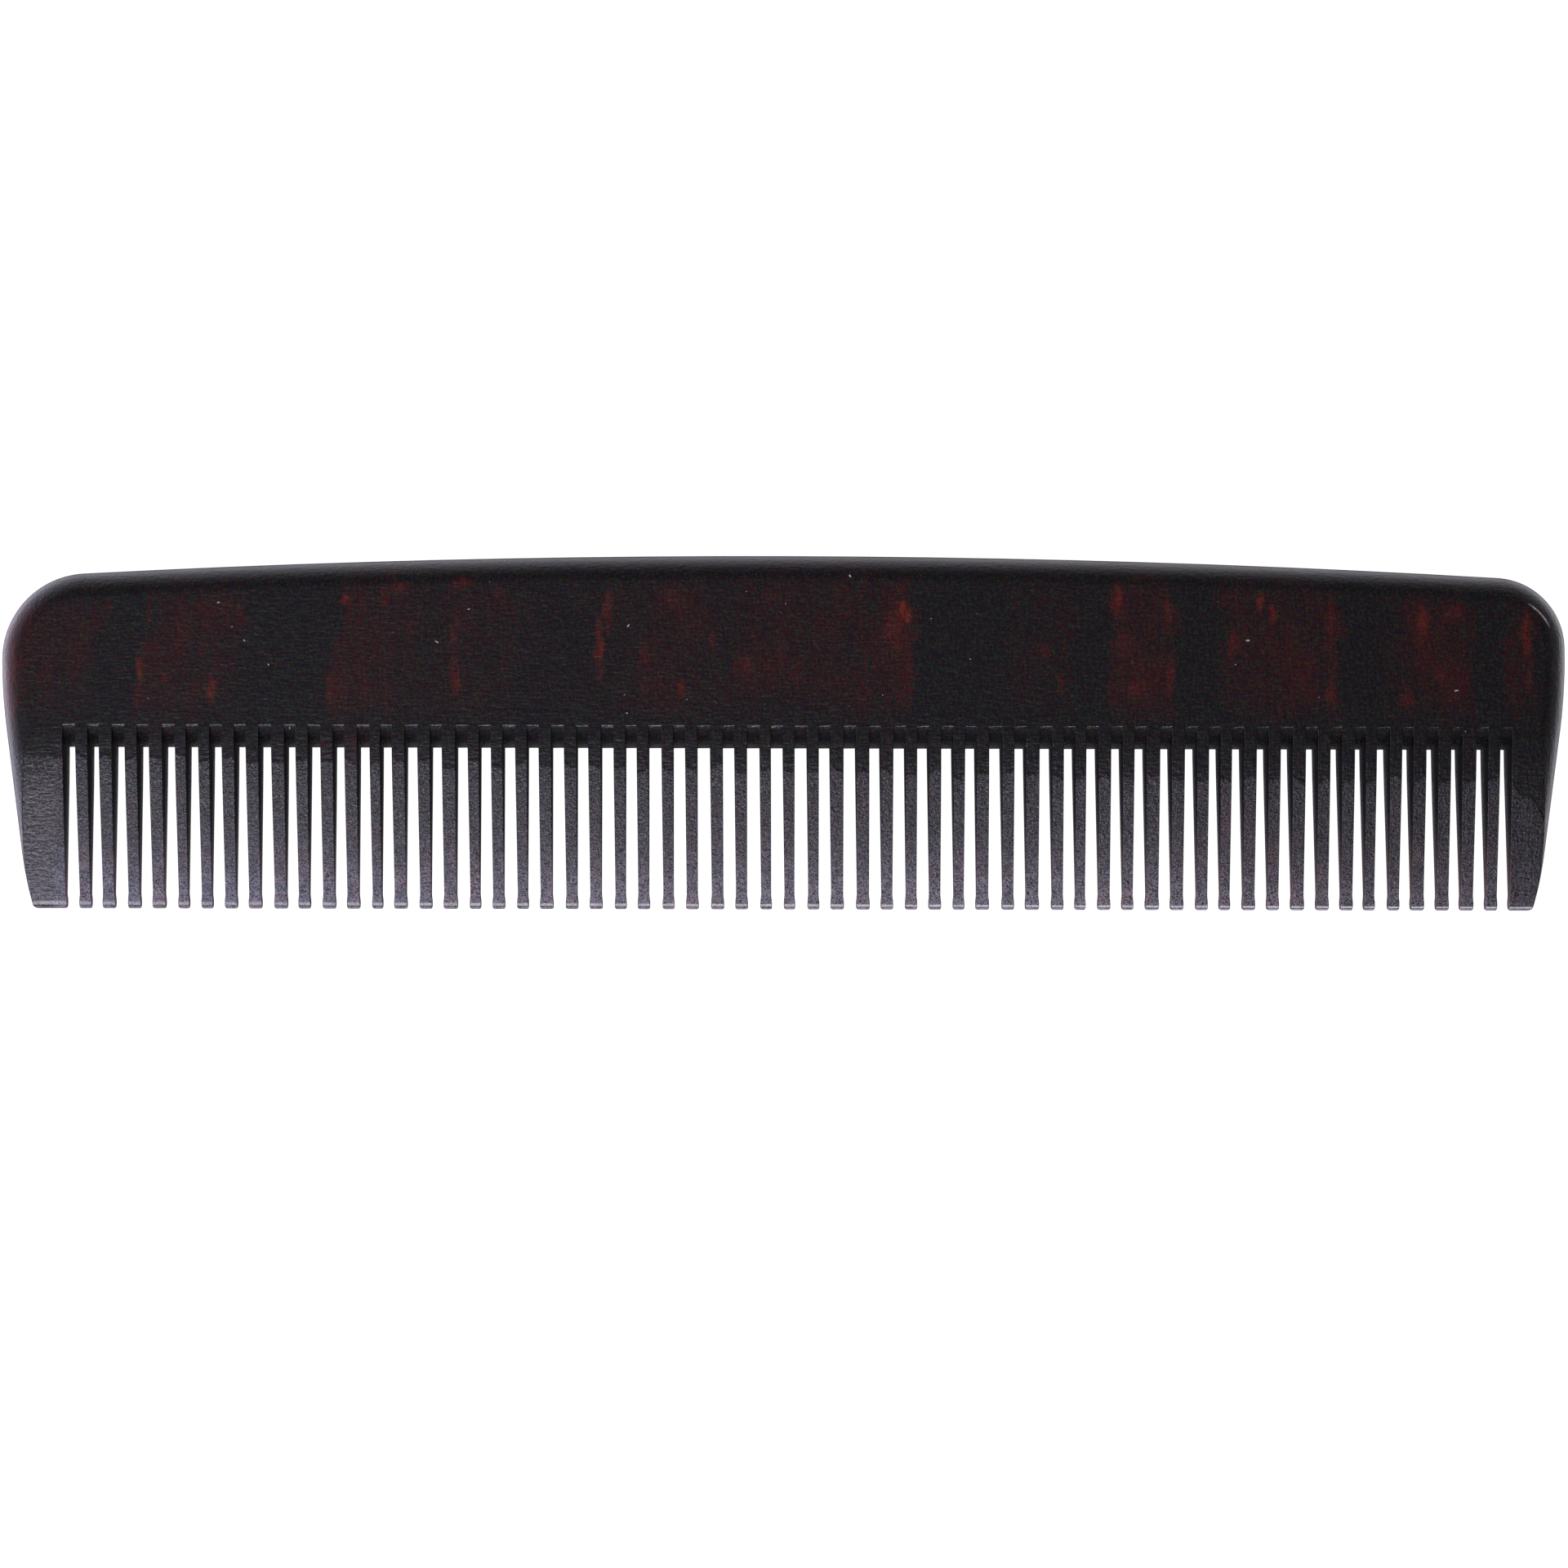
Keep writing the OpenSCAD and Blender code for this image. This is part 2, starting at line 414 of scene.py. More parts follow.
below = -CLEAR
top = ROOT_Y + PAST_ROOT
mouth = TIP_Y + MOUTH_H
neck = TIP_Y + NECK_H + MOUTH_H
cutter = pen_at("saw_cut", (0, top, below))
draw_cut_side(1, top, mouth, below)
select_where(lambda co: co.y > top - FINE and abs(co.x) < FINE)
draw_cut_side(-1, top, mouth, below)
select_where(lambda co: True)
bpy.ops.mesh.edge_face_add()
line((0, 0, THICK - 2 * below))
closed_up()
print("saw cutter, size in mm:", size_of(cutter))

# %% [markdown]
# ## The gable at the root
# The blade is round and comes in from the top and then from the bottom, so the two cuts
# meet in a ridge at mid thickness, which stands out furthest into the gap. The bar that
# leaves this shape has one arc for each side. Its radius follows from two things that
# the photograph shows: how far the ridge stands out, and how steeply the arc starts.

# %% Give the cutter its gable
GABLE_STEPS = 12
GABLE_HALF = 2.0
chord = math.hypot(ROOT_RISE, HALF)
root_r = chord / (2 * math.sin(math.atan2(HALF, ROOT_RISE) - ROOT_SLOPE))
root_c_y = ROOT_Y + root_r * math.sin(ROOT_SLOPE)
root_c_z = HALF - root_r * math.cos(ROOT_SLOPE)
ridge_y = ROOT_Y - ROOT_RISE
ridge_turn = math.pi / 2 - math.atan2(-root_c_z, root_c_y - ridge_y)

gable = pen_at("gable", (-GABLE_HALF, ridge_y, HALF))
for up in (1, -1):
    select_where(lambda co: co.y < ridge_y + FINE)
    gable_c = (-GABLE_HALF, root_c_y, HALF + up * root_c_z)
    arc(gable_c, X_AXIS, -up * ridge_turn, GABLE_STEPS)
select_where(lambda co: True)
bpy.ops.mesh.edge_face_add()
line((2 * GABLE_HALF, 0, 0))
closed_up()
print("gable, size in mm:", size_of(gable))
use_boolean(cutter, gable, "DIFFERENCE")
print("cutter with gable, mm:", size_of(cutter), "faces:", len(cutter.data.polygons))

# %% [markdown]
# ## Sixty cuts
# The cutter is copied along the comb, each copy with its own mesh. A real row is never
# perfect: the wheel that steps the comb on has a slow error that comes round every six
# cuts, the two blades that work side by side differ a little in width, and all the cuts
# lean by less than half a degree. A seeded random number adds the last hundredths of a
# millimetre, so the row comes out the same each time.

# %% Copy the cutter and saw the teeth
INDEX_ERROR = 0.06
INDEX_PERIOD = 6
INDEX_START = 4
BLADE_ERROR = 0.04
SCATTER = 0.025
LEAN_SCATTER = math.radians(0.08)

random.seed(11)
nothing_selected()
copies = []
for i in range(CUTS):
    place = CUT_SHIFT + (i - (CUTS - 1) / 2) * PITCH
    place += INDEX_ERROR * math.cos(math.tau * (i - INDEX_START) / INDEX_PERIOD)
    place += random.gauss(0, SCATTER)
    widen = BLADE_ERROR if i % 2 == 0 else -BLADE_ERROR
    widen += random.gauss(0, SCATTER)
    nothing_selected()
    cutter.select_set(True)
    bpy.context.view_layer.objects.active = cutter
    bpy.ops.object.duplicate()
    copy = bpy.context.object
    copy.scale.x = 1 + widen / CUT_TIP_W
    copy.rotation_euler.z = CUT_LEAN + random.gauss(0, LEAN_SCATTER)
    turned = Vector((-math.sin(copy.rotation_euler.z), math.cos(copy.rotation_euler.z)))
    copy.location = (place - ROOT_Y * turned.x, ROOT_Y - ROOT_Y * turned.y, 0)
    copies.append(copy)
nothing_selected()
bpy.data.objects.remove(cutter)
for copy in copies:
    copy.select_set(True)
bpy.context.view_layer.objects.active = copies[0]
bpy.ops.object.join()
cuts = bpy.context.object
bpy.ops.object.transform_apply(location=True, rotation=True, scale=True)
print("cuts:", len(copies), "spread over, mm:", size_of(cuts))
use_boolean(slab, cuts, "DIFFERENCE")
print("sawn comb, size in mm:", size_of(slab), "faces:", len(slab.data.polygons))

# %% [markdown]
# ## Stray points
# Now and then a Boolean leaves a point in the middle of a straight edge, where nothing
# else meets it. It can't be seen, but the bevel that comes next would cut the edge in two
# there. A point with only two edges is such a stray, so it is dissolved, which makes the
# edge whole again. Mostly there are none, and then nothing changes.

# %% Dissolve stray points


def edit(piece):
    """Opens a piece in edit mode with nothing else selected."""
    nothing_selected()
    bpy.context.view_layer.objects.active = piece
    piece.select_set(True)
    bpy.ops.object.mode_set(mode="EDIT")


def dissolve_strays(piece):
    """Makes edges whole again that a stray point splits, and counts the points."""
    edit(piece)
    bpy.ops.mesh.select_mode(type="VERT")
    bpy.ops.mesh.select_all(action="DESELECT")
    mesh = bmesh.from_edit_mesh(piece.data)
    strays = [vertex for vertex in mesh.verts if len(vertex.link_edges) == 2]
    for vertex in strays:
        vertex.select_set(True)
    bmesh.update_edit_mesh(piece.data)
    if strays:
        bpy.ops.mesh.dissolve_verts()
    bpy.ops.object.mode_set(mode="OBJECT")
    return len(strays)


print("stray points dissolved:", dissolve_strays(slab))

# %% [markdown]
# ## Soft edges
# Sawn edges are knife-sharp, so combs are tumbled with pumice for days until every edge
# is round. Here a bevel of about a tenth of a millimetre does that. Only outward edges
# take it: the inner corners at the roots stay as the saw left them. Clamping is off,
# because the shortest edge on the comb would otherwise hold the bevel back everywhere.

# %% Tumble the edges
EDGE_SOFT = 0.055
SOFT_STEPS = 2
SHARP = math.radians(24)


def select_edges(test):
    """In edit mode, selects only the edges that pass a test, and counts them."""
    bpy.ops.mesh.select_all(action="DESELECT")
    bpy.ops.mesh.select_mode(type="EDGE")
    mesh = bmesh.from_edit_mesh(bpy.context.object.data)
    picked = [edge for edge in mesh.edges if test(edge)]
    for edge in picked:
        edge.select_set(True)
    bmesh.update_edit_mesh(bpy.context.object.data)
    return len(picked)


edit(slab)
edges = select_edges(lambda e: e.is_convex and e.calc_face_angle(0) > SHARP)
bpy.ops.mesh.bevel(offset=EDGE_SOFT, segments=SOFT_STEPS, affect="EDGES", clamp_overlap=False)
closed_up()
print("edges softened:", edges, "faces now:", len(slab.data.polygons))

# %% [markdown]
# ## The line where the thinning meets the rim
# The wheel leaves a faint line on the guards, where the thinned face runs into the round
# rim. Smooth shading would wash it out, so its edges are marked sharp. They are found by
# the normals of their two faces: the thinned face leans only towards the tips, while the
# rim also leans to the side.

# %% Mark the line as sharp
FACE_LEAN, RIM_LEAN = 0.01, 0.04


def is_crease(edge):
    """An edge where the thinned face, which tilts only towards the tips, meets the rim."""
    leans = sorted(abs(face.normal.x) for face in edge.link_faces)
    return edge.verts[0].co.y < 0 and leans[0] < FACE_LEAN and leans[-1] > RIM_LEAN


edit(slab)
creases = select_edges(is_crease)
bpy.ops.mesh.mark_sharp()
closed_up()
print("creases between the thinned faces and the rim:", creases)

# %% [markdown]
# ## True size and clean shading
# The comb is shrunk to its real size about the world's origin, so the object itself
# stays unscaled. Smooth shading makes the arcs and the bevels read as round. The flats
# are single huge faces next to narrow strips of rim, and an even average of their
# normals would leave a smear across them. Weighted normals let the largest face win.

# %% Shrink, smooth and put in place of the measured node
SMOOTH_BELOW = math.radians(40)

edit(slab)
bpy.ops.mesh.select_all(action="SELECT")
bpy.ops.transform.resize(value=(MM, MM, MM), center_override=(0, 0, 0))
bpy.ops.object.mode_set(mode="OBJECT")
bpy.ops.object.shade_smooth_by_angle(angle=SMOOTH_BELOW)
weighted = slab.modifiers.new("weighted", "WEIGHTED_NORMAL")
weighted.keep_sharp = True
bpy.ops.object.modifier_apply(modifier=weighted.name)

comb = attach(slab, "root")
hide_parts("comb")
triangles = sum(len(face.vertices) - 2 for face in comb.data.polygons)
print("comb in place, triangles:", triangles)
print("size of the comb, m:", [round(s, 4) for s in comb.dimensions])

# %% [markdown]
# ## Building materials with few words
# A material is a chain of small nodes, each of which could be clicked together in the
# Shader Editor. In code it is easier to read when one call makes a node, fills its
# sockets and returns its result. A value that is a socket gets linked, and anything else
# is typed in.

# %% One call for one node


def new_material(name):
    """A new material with its node tree and its shader."""
    material = bpy.data.materials.new(name)
    material.use_nodes = True
    return material, material.node_tree, material.node_tree.nodes["Principled BSDF"]


def add(tree, kind, values, out=0, **settings):
    """Adds a node, fills its inputs and returns one of its outputs."""
    made = tree.nodes.new(kind)
    for key, setting in settings.items():
        setattr(made, key, setting)
    for key, value in values.items():
        if isinstance(value, bpy.types.NodeSocket):
            tree.links.new(value, made.inputs[key])
        else:
            made.inputs[key].default_value = value
    return made.outputs[out]


print("a node takes one call")

# %% [markdown]
# ## Sums
# Most nodes only reckon. They multiply, add or compare two numbers, or do the same with
# two vectors. Each of these jobs gets a short name, so that a long chain of them still
# reads from left to right.

# %% Sums of numbers and vectors


def formula(tree, operation, a, b=0.0, clamp=False):
    """One Math node."""
    return add(tree, "ShaderNodeMath", {0: a, 1: b}, operation=operation, use_clamp=clamp)


def times(tree, a, b):
    """Two numbers multiplied."""
    return formula(tree, "MULTIPLY", a, b)


def plus(tree, a, b):
    """Two numbers added."""
    return formula(tree, "ADD", a, b)


def minus(tree, a, b):
    """The first number less the second."""
    return formula(tree, "SUBTRACT", a, b)


def larger(tree, a, b):
    """The larger of two numbers."""
    return formula(tree, "MAXIMUM", a, b)


def apart(tree, a, b):
    """How far apart two numbers are."""
    return formula(tree, "ABSOLUTE", minus(tree, a, b))


def vector(tree, operation, a, b):
    """One Vector Math node."""
    return add(tree, "ShaderNodeVectorMath", {0: a, 1: b}, operation=operation)


def scaled(tree, a, factor):
    """A vector made longer or shorter."""
    return add(tree, "ShaderNodeVectorMath", {0: a, "Scale": factor}, operation="SCALE")


def length(tree, a):
    """Length of a vector."""
    return add(tree, "ShaderNodeVectorMath", {0: a}, out="Value", operation="LENGTH")


print("sums take one word")

# %% [markdown]
# ## Ramps, charts and noises
# A ramp turns one stretch of values into another and holds it at both ends, which is how
# a finish fades in along the comb. A chart is a longer ramp with a given list of stops. A
# noise is a smooth random pattern, and here its scale counts the grains in a millimetre.
# With these three, everything on the comb can be described.

# %% Ramps, charts and noises


def ramp_to(tree, value, low, high, to_low=0.0, to_high=1.0, smooth=True):
    """Maps a stretch of values onto another, and holds it at both ends."""
    values = {"Value": value, "From Min": low, "From Max": high}
    values.update({"To Min": to_low, "To Max": to_high})
    kind = "SMOOTHSTEP" if smooth else "LINEAR"
    return add(tree, "ShaderNodeMapRange", values, out="Result", interpolation_type=kind)


def read_chart(tree, value, chart):
    """Reads a level off a chart of places and levels, at the place that a value gives."""
    first, last = chart[0][0], chart[-1][0]
    place = ramp_to(tree, value, first, last, smooth=False)
    ramp = add(tree, "ShaderNodeValToRGB", {"Fac": place}).node
    stops = ramp.color_ramp.elements
    stops.remove(stops[1])
    stops[0].position = 0.0
    stops[0].color = (chart[0][1],) * 3 + (1,)
    for at, level in chart[1:]:
        stops.new((at - first) / (last - first)).color = (level,) * 3 + (1,)
    return ramp.outputs["Color"]


def noise(tree, where, scale, detail=2.0, rough=0.5, stretch=(1, 1, 1)):
    """A noise between about 0 and 1, in grains per millimetre, stretched if asked."""
    place = vector(tree, "MULTIPLY", where, stretch)
    values = {"Vector": place, "Scale": scale, "Detail": detail, "Roughness": rough}
    return add(tree, "ShaderNodeTexNoise", values, out="Fac")


def sway(tree, where, scale, detail, rough=0.5):
    """A noise of three numbers that swing about zero, for a shift or a tint."""
    values = {"Vector": where, "Scale": scale, "Detail": detail, "Roughness": rough}
    swing = add(tree, "ShaderNodeTexNoise", values, out="Color")
    return vector(tree, "SUBTRACT", swing, (0.5, 0.5, 0.5))


def blend(tree, amount, a, b):
    """Mixes two colours."""
    values = {0: amount, 6: a, 7: b}
    return add(tree, "ShaderNodeMix", values, out=2, data_type="RGBA")


print("ramps, charts and noises are ready")

# %% [markdown]
# ## Tortoiseshell acetate
# The sheet that such combs are cut from is pressed from blocks of dark and red acetate,
# so the colour runs right through. Along the comb, near-black stretches take turns with
# deep red ones. Their edges are often cut off hard on one side and bleed out on the
# other. Noise alone would never give that order, so the stretches are charted along X:
# a place in millimetres, and how red it is there. A colour ramp holds 32 stops at most,
# hence the two halves.

# %% Chart the dark and red stretches
LEFT_STRETCHES = [
    (-64.5, 1.0), (-63.0, 0.9), (-61.8, 0.5), (-57.6, 0.5), (-56.4, 0.08),
    (-52.8, 0.06), (-52.5, 0.8), (-48.0, 0.7), (-45.4, 0.4), (-44.4, 0.1),
    (-37.3, 0.06), (-37.0, 0.85), (-31.8, 0.6), (-30.2, 0.3), (-26.0, 0.4),
    (-22.0, 0.3), (-21.2, 0.1), (-16.2, 0.15), (-14.0, 0.3), (-11.8, 0.3),
    (-11.2, 0.55), (-7.6, 0.5), (-6.6, 0.3), (-4.2, 0.4), (-3.6, 0.5), (0.0, 0.55),
]
RIGHT_STRETCHES = [
    (0.0, 0.55), (6.5, 0.6), (9.2, 0.7), (10.3, 0.8), (10.5, 0.04), (17.8, 0.04),
    (18.8, 0.25), (23.2, 0.3), (23.8, 0.06), (26.4, 0.08), (26.8, 0.75), (31.9, 0.8),
    (32.2, 0.05), (35.2, 0.05), (36.4, 0.6), (45.4, 0.75), (45.8, 0.05), (48.8, 0.05),
    (51.4, 0.55), (56.3, 0.75), (56.6, 0.06), (59.0, 0.06), (59.3, 0.5), (61.6, 0.55),
    (61.9, 0.04), (64.5, 0.03),
]
print("stops charted:", len(LEFT_STRETCHES) + len(RIGHT_STRETCHES))

# %% [markdown]
# ## Where a point lies on the comb
# Object coordinates give the place of each point of the surface, and they stay with the
# comb when it moves. They are counted in millimetres here, as the drawing was. Poured
# acetate has no straight borders, so a slow noise pushes the places about before the
# chart is read. Wear follows the real shape instead, so the straight places are kept too.

# %% Straight and poured places
SWIRLS_PER_MM = 0.45
SWIRL_REACH = (1.4, 2.0, 0)

acetate, tree, shader = new_material("tortoiseshell_acetate")
metres = tree.nodes.new("ShaderNodeTexCoord").outputs["Object"]
mm = scaled(tree, metres, 1 / MM)
straight = add(tree, "ShaderNodeSeparateXYZ", {0: mm}).node
straight_x, height = straight.outputs["X"], straight.outputs["Y"]

swirl = sway(tree, mm, SWIRLS_PER_MM, detail=4.0, rough=0.62)
poured = vector(tree, "ADD", mm, vector(tree, "MULTIPLY", swirl, SWIRL_REACH))
axes = add(tree, "ShaderNodeSeparateXYZ", {0: poured}).node
poured_x, poured_y, poured_z = axes.outputs
print("swirls push a place by at most, mm:", [reach / 2 for reach in SWIRL_REACH])

# %% [markdown]
# ## Slanted borders
# On the comb the borders between dark and red aren't upright. They fan out from the
# middle, they slant through the thickness, because the sheet was cut askew from its
# block, and every few millimetres they jump, where one pressed layer ends and the next
# begins. Each of these is a shift along X that is added before the chart is read.

# %% Read the chart at a shifted place
LAYER_H = 2.6
JUMP = 0.6
FAN_MIDDLE, FAN_GROWS, FAN_Y = 0.05, -0.0025, 6.0
SLANT = 0.35

layer = formula(tree, "SNAP", poured_y, LAYER_H)
layer = add(tree, "ShaderNodeCombineXYZ", {"Y": layer})
layer = {"Vector": layer, "Scale": 0.7, "Detail": 0.0}
layer = add(tree, "ShaderNodeTexNoise", layer, out="Fac")
jump = ramp_to(tree, layer, 0.25, 0.75, -JUMP, JUMP, smooth=False)
fan = {0: poured_x, 1: FAN_GROWS, 2: FAN_MIDDLE}
fan = add(tree, "ShaderNodeMath", fan, operation="MULTIPLY_ADD")
fanned = times(tree, fan, minus(tree, poured_y, FAN_Y))
slanted = times(tree, minus(tree, poured_z, THICK), SLANT)
along = plus(tree, minus(tree, poured_x, fanned), slanted)
along = plus(tree, along, jump)

left = read_chart(tree, along, LEFT_STRETCHES)
right = read_chart(tree, along, RIGHT_STRETCHES)
red = blend(tree, formula(tree, "GREATER_THAN", along, 0.0), left, right)
print("borders jump by at most, mm:", JUMP)

# %% [markdown]
# ## Red that is never even
# A red stretch is a cloud of pigment, not a coat of paint. Upright fibres, wide clouds
# and small flecks make it stronger here and weaker there. Just above the teeth and along
# the rim the red is dimmed as painted shade: the roots lie in shade, and the rim turns away
# from the light. The dark isn't black either, but a very deep brown.

# %% Colour of the acetate
DARK = (0.0030, 0.0020, 0.0028, 1)
RED = (0.0285, 0.0004, 0.0006, 1)
FADE_LOW, FADE_HIGH = 0.0, 3.8
RIM_OUT, RIM_IN = 1.5, 3.2

fibres = noise(tree, poured, 0.8, detail=4.0, rough=0.6, stretch=(1.0, 0.3, 0.4))
clouds = noise(tree, mm, 0.28, detail=3.0)
flecks = noise(tree, mm, 2.2, detail=3.0, rough=0.6, stretch=(1.0, 0.5, 0.5))
patchy = times(tree, ramp_to(tree, fibres, 0.36, 0.66, 0.6, 1.4), red)
patchy = times(tree, ramp_to(tree, clouds, 0.3, 0.7, 0.75, 1.25), patchy)
patchy = times(tree, ramp_to(tree, flecks, 0.3, 0.7, 0.7, 1.3), patchy)
# Painted shade: the red dims over the roots, which lie in shade, and stays dim on the teeth.
patchy = times(tree, ramp_to(tree, height, FADE_LOW, FADE_HIGH, 0.1, 1.0), patchy)

# Painted shade: the red dims along the rim, which turns away from the light.
spine_drop = times(tree, straight_x, straight_x)
spine_drop = formula(tree, "DIVIDE", spine_drop, 2 * SPINE_R)
up_to_rim = plus(tree, spine_drop, height)
rim_painted_shade = ramp_to(tree, up_to_rim, CROWN_Y - RIM_IN, CROWN_Y - RIM_OUT, 1.0, 0.3)
patchy = times(tree, rim_painted_shade, patchy)
colour = blend(tree, patchy, DARK, RED)
print("red over dark:", round(RED[0] / DARK[0], 1), "times")

# %% [markdown]
# ## Orange streaks and pink blushes
# Here and there a thin streak of clear orange glows through the red, mostly where two
# stretches meet, and a few teeth blush pink under their haze. A noise would put them
# anywhere, so they are charted as well: place, half width, half height and strength, all
# along the comb. Each is an oval that fades outwards, and a ragged noise breaks it up.

# %% Orange streaks and pink blushes
GLOWS = [
    (-63.7, 5.0, 0.7, 4.5, 0.5), (-52.2, 9.9, 0.20, 1.0, 0.4),
    (-53.0, 5.3, 0.25, 0.9, 0.9), (-53.3, 3.0, 0.30, 0.8, 0.3),
    (-50.9, 4.4, 0.25, 0.3, 0.5), (-47.1, 3.4, 0.35, 1.0, 0.9),
    (-55.6, 10.1, 0.25, 0.6, 0.5), (-44.6, 9.5, 0.25, 0.5, 0.4),
    (-37.3, 3.6, 0.40, 1.2, 0.3), (-36.1, 10.8, 0.30, 0.6, 0.9),
    (-32.9, 11.2, 0.25, 0.7, 0.9), (-31.6, 12.0, 0.60, 0.4, 0.4),
    (-27.2, 4.6, 0.35, 1.1, 0.9), (-26.5, 12.1, 0.80, 0.4, 0.5),
    (-27.0, 8.0, 0.30, 1.4, 0.3), (-23.4, 10.7, 0.40, 0.8, 0.4),
    (-15.3, 6.8, 0.30, 2.2, 0.8), (-14.6, 10.1, 0.25, 2.0, 0.6),
    (-11.7, 6.2, 0.40, 0.8, 0.35), (-9.4, 11.0, 0.80, 0.8, 0.3),
    (-8.5, 3.6, 0.25, 0.6, 0.8), (-5.9, 7.4, 0.25, 0.6, 0.4),
    (-3.2, 5.6, 0.80, 0.7, 0.35), (-1.3, 11.2, 0.40, 0.6, 0.3),
    (9.8, 10.0, 0.50, 0.7, 2.2), (9.1, 8.4, 0.80, 1.7, 0.5),
    (10.2, 4.9, 0.40, 1.9, 0.3), (21.2, 6.8, 0.50, 0.7, 0.35),
    (22.6, 4.1, 0.30, 0.6, 0.35), (27.3, 10.9, 0.40, 1.1, 0.8),
    (27.9, 7.0, 0.80, 1.2, 0.3), (31.5, 9.7, 0.30, 1.2, 0.5),
    (31.7, 4.7, 0.30, 1.4, 0.45), (28.8, 3.5, 0.50, 0.6, 0.4),
    (39.0, 10.9, 0.25, 0.6, 1.2), (40.0, 9.9, 0.25, 0.5, 1.0),
    (36.9, 7.6, 0.35, 1.3, 0.6), (44.9, 9.9, 0.30, 2.0, 0.4),
    (45.0, 3.0, 0.35, 0.9, 0.5), (52.3, 9.0, 0.40, 1.4, 0.7),
    (54.9, 10.0, 0.80, 0.9, 0.5), (53.8, 4.8, 0.35, 0.7, 0.4),
    (51.0, 2.8, 0.60, 0.6, 0.4), (60.9, 8.1, 0.35, 1.5, 0.9),
    (61.4, 4.6, 0.30, 1.2, 0.3), (34.6, -4.6, 0.80, 1.0, 0.2),
    (36.5, -6.8, 0.80, 2.0, 0.5), (38.4, -8.5, 0.80, 1.6, 0.35),
    (40.3, -10.2, 0.80, 1.4, 0.45), (42.3, -12.8, 0.80, 1.0, 0.4),
    (44.4, -13.6, 0.80, 0.8, 0.4), (50.2, -7.0, 0.80, 1.2, 0.25),
    (52.2, -9.8, 0.80, 1.0, 0.3), (54.2, -12.8, 0.80, 1.4, 0.25),
    (-1.4, -9.4, 0.80, 1.0, 0.25), (-35.0, -1.6, 0.80, 1.4, 0.25),
    (-38.6, -1.6, 0.80, 1.0, 0.25),
]
GLOW = (0.1250, 0.0130, 0.0028, 1)
BLUSH = (0.1000, 0.0300, 0.0420, 1)
OVAL_IN, OVAL_OUT = 0.2, 1.8
BLUSH_BELOW = -3.0

glow = None
flat = vector(tree, "MULTIPLY", poured, (1, 1, 0))
for glow_x, glow_y, half_x, half_y, shine in GLOWS:
    off = vector(tree, "SUBTRACT", flat, (glow_x, glow_y, 0))
    off = vector(tree, "MULTIPLY", off, (1 / half_x, 1 / half_y, 0))
    spot = ramp_to(tree, length(tree, off), OVAL_IN, OVAL_OUT, shine, 0.0)
    glow = spot if glow is None else larger(tree, glow, spot)
ragged = noise(tree, mm, 1.6, detail=4.0, rough=0.65, stretch=(1, 0.4, 1))
glow = times(tree, glow, ramp_to(tree, ragged, 0.32, 0.58, 0.08, 0.78))
glow_colour = blend(tree, ramp_to(tree, height, 0.0, BLUSH_BELOW), GLOW, BLUSH)
colour = blend(tree, glow, colour, glow_colour)
print("glowing streaks and spots:", len(GLOWS))

# %% [markdown]
# ## Where the tumbling shows
# The back is satin from the polishing cloth, while the teeth keep the skin that tumbling
# gave them. The border between the two runs a little below the roots, lower towards the
# right, and differs from tooth to tooth. Use wears the teeth more and more towards the
# tips, and the same ramp also carries a painted sheen. The two guards are broader and were
# handled more, so their skin is smoother. All of this is far too shallow to model, so from
# here on the finish is only described.

# %% Map the worn and tumbled places
SHORE_SWING = 0.6
SHORE_LEFT, SHORE_RIGHT, SHORE_CORNER = -1.8, -3.7, -4.8
GUARD_IN, GUARD_OUT = 59.6, 60.4
GUARD_LEFT, GUARD_RIGHT = 0.3, 0.55

down_the_teeth = ramp_to(tree, height, -1.5, TIP_Y, smooth=False)
by_tooth = add(tree, "ShaderNodeCombineXYZ", {"X": straight_x})
by_tooth = noise(tree, by_tooth, 0.45, detail=2.0)
shore = ramp_to(tree, by_tooth, 0.3, 0.7, -SHORE_SWING, SHORE_SWING, smooth=False)
slope = ramp_to(tree, straight_x, -64.0, 40.0, SHORE_LEFT, SHORE_RIGHT, smooth=False)
shore = plus(tree, shore, slope)
slope = ramp_to(tree, straight_x, 59.8, 64.5, 0.0, SHORE_CORNER, smooth=False)
shore = plus(tree, shore, slope)
tumbled = ramp_to(tree, minus(tree, shore, height), -0.25, 0.35)

on_guard = ramp_to(tree, formula(tree, "ABSOLUTE", straight_x), GUARD_IN, GUARD_OUT)
guard_share = ramp_to(tree, straight_x, -60.0, 60.0, GUARD_LEFT, GUARD_RIGHT, smooth=False)
guard_share = ramp_to(tree, on_guard, 0.0, 1.0, 1.0, guard_share, smooth=False)
print("tumbled skin starts between, mm:", SHORE_LEFT, "and", SHORE_RIGHT)

# %% [markdown]
# ## Pebbles and cloth marks
# Under a strip of light the smallest dents show, because each mirrors another part of
# the room. The polishing cloth left a fine weave of scratches both ways, and tumbling
# left pebbles a fifth of a millimetre across. A Bump node tips the shading as if the
# dents were there, and its distance keeps them at hundredths of a millimetre.

# %% Pebbles and weave as bump
PEBBLES_PER_MM, SCRATCHES_PER_MM = 5.0, 4.2
PEBBLES_POLISHED, PEBBLES_TUMBLED = 0.3, 3.4
WEAVE = 1.5
BUMP_DEPTH = 0.00002

